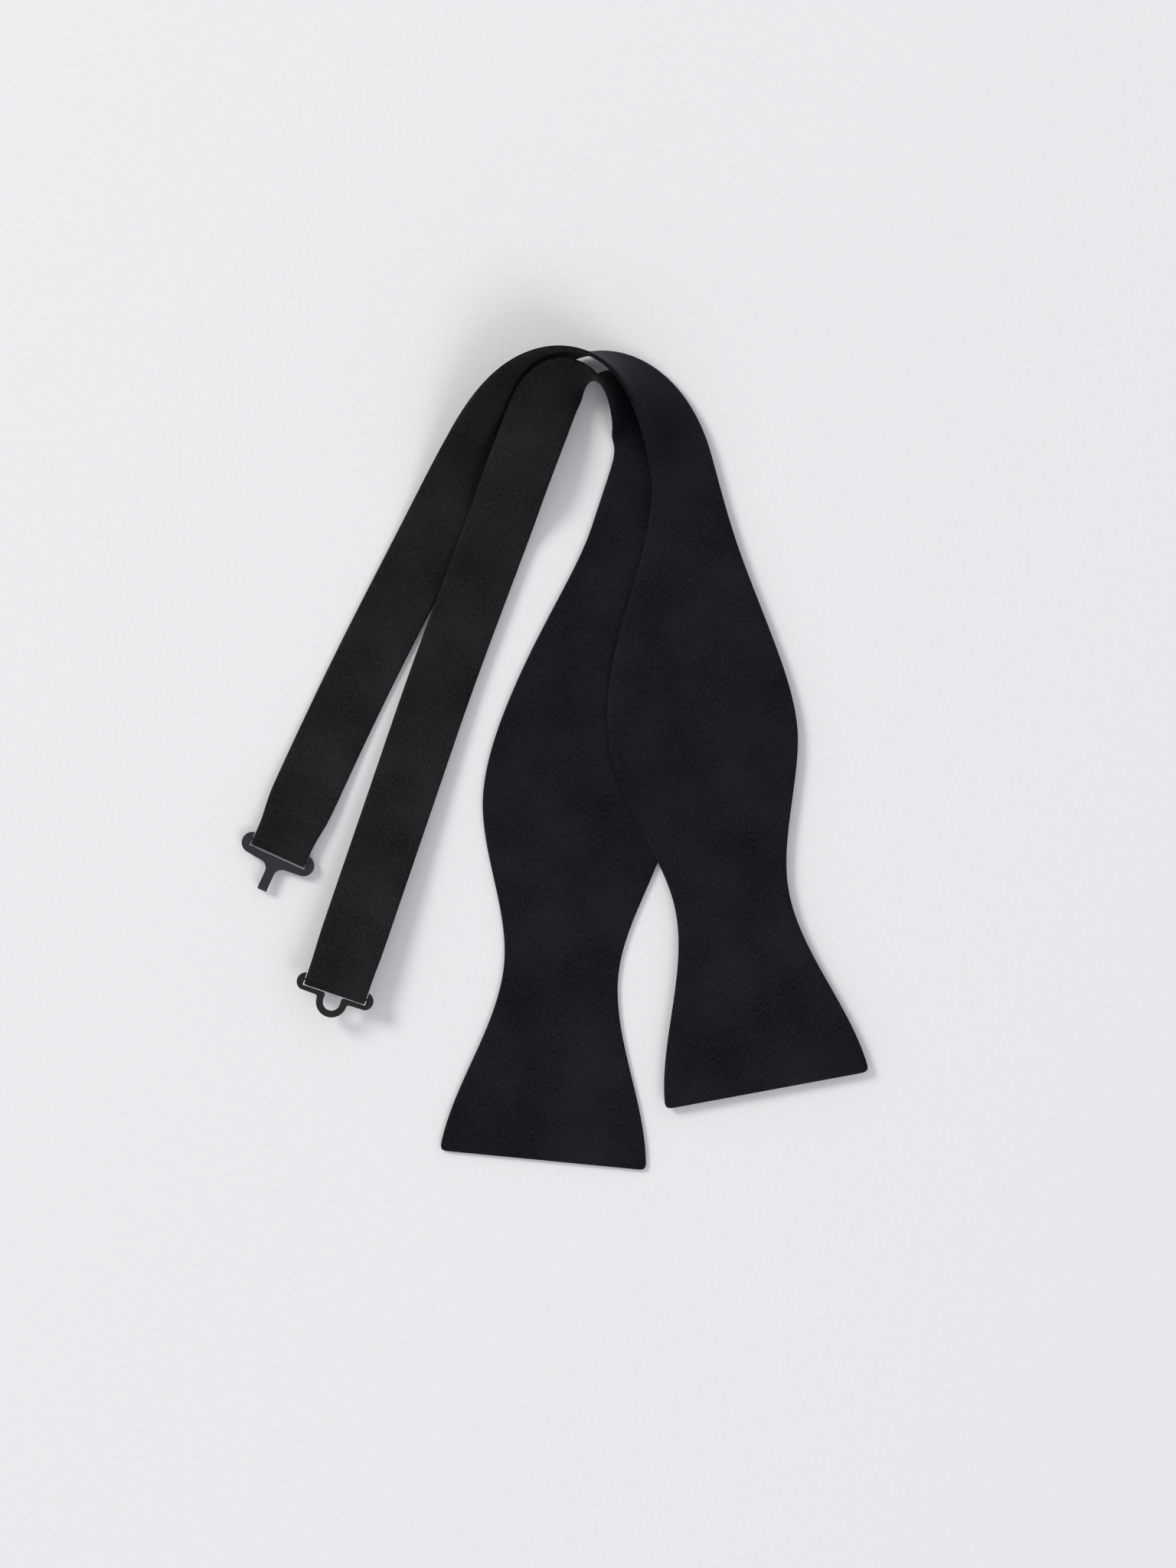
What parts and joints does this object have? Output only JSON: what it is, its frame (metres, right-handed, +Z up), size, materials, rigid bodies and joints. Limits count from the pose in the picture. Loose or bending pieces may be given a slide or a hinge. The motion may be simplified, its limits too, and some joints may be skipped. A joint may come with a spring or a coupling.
{
  "type": "bow tie",
  "caption": "Self-tie butterfly bow tie, untied and laid open: flared blades on a narrow neck band, with loose hook and eye halves.",
  "frame": {"origin": "centre of the laid-out tie's footprint, on the table it lies on", "axes": "+Z up from the table; +Y from the square blade ends towards the folded neck band; +X to the right, towards the hook half's blade"},
  "size_m": [0.2192, 0.2864, 0.0251],
  "materials": {
    "satin_face": "black satin weave, soft sheen",
    "satin_back": "black satin, duller reverse lay of the same cloth",
    "interlining": "undyed woven interlining",
    "sewing_thread": "black polyester thread",
    "hook_enamel": "stamped steel, dark bluish grey enamel",
    "eye_enamel": "stamped steel, near-black enamel"
  },
  "bodies": {
    "eye_half": {"eye_half_blade_front": "satin_face", "eye_half_blade_back": "satin_back", "eye_half_blade_canvas": "interlining", "eye_half_edge_seam_thread": "sewing_thread", "eye_half_neck_seam_thread": "sewing_thread", "eye_half_strap": "satin_back", "eye_half_strap_canvas": "interlining", "eye_half_fold_stitching": "sewing_thread"},
    "hook_half": {"hook_half_blade_front": "satin_face", "hook_half_blade_back": "satin_back", "hook_half_blade_canvas": "interlining", "hook_half_edge_seam_thread": "sewing_thread", "hook_half_neck_seam_thread": "sewing_thread", "hook_half_strap": "satin_back", "hook_half_strap_canvas": "interlining", "hook_half_fold_stitching": "sewing_thread"},
    "hook_plate": {"hook_plate": "hook_enamel"},
    "eye_plate": {"eye_plate": "eye_enamel"}
  },
  "joints": [
    {"name": "lay_apart", "type": "slide", "parent": "eye_half", "child": "hook_half", "axis": [0, 1, 0], "range_m": [0, 0.03]},
    {"name": "hook_plate_swing", "type": "hinge", "parent": "hook_half", "child": "hook_plate", "pos_m": [-0.09639, -0.03145, 0.00212], "axis": [-0.9114, 0.4115, 0], "range_deg": [-3, 75]},
    {"name": "eye_plate_swing", "type": "hinge", "parent": "eye_half", "child": "eye_plate", "pos_m": [-0.07636, -0.07958, 0.00737], "axis": [-0.9472, 0.3206, 0], "range_deg": [-25, 75]}
  ]
}
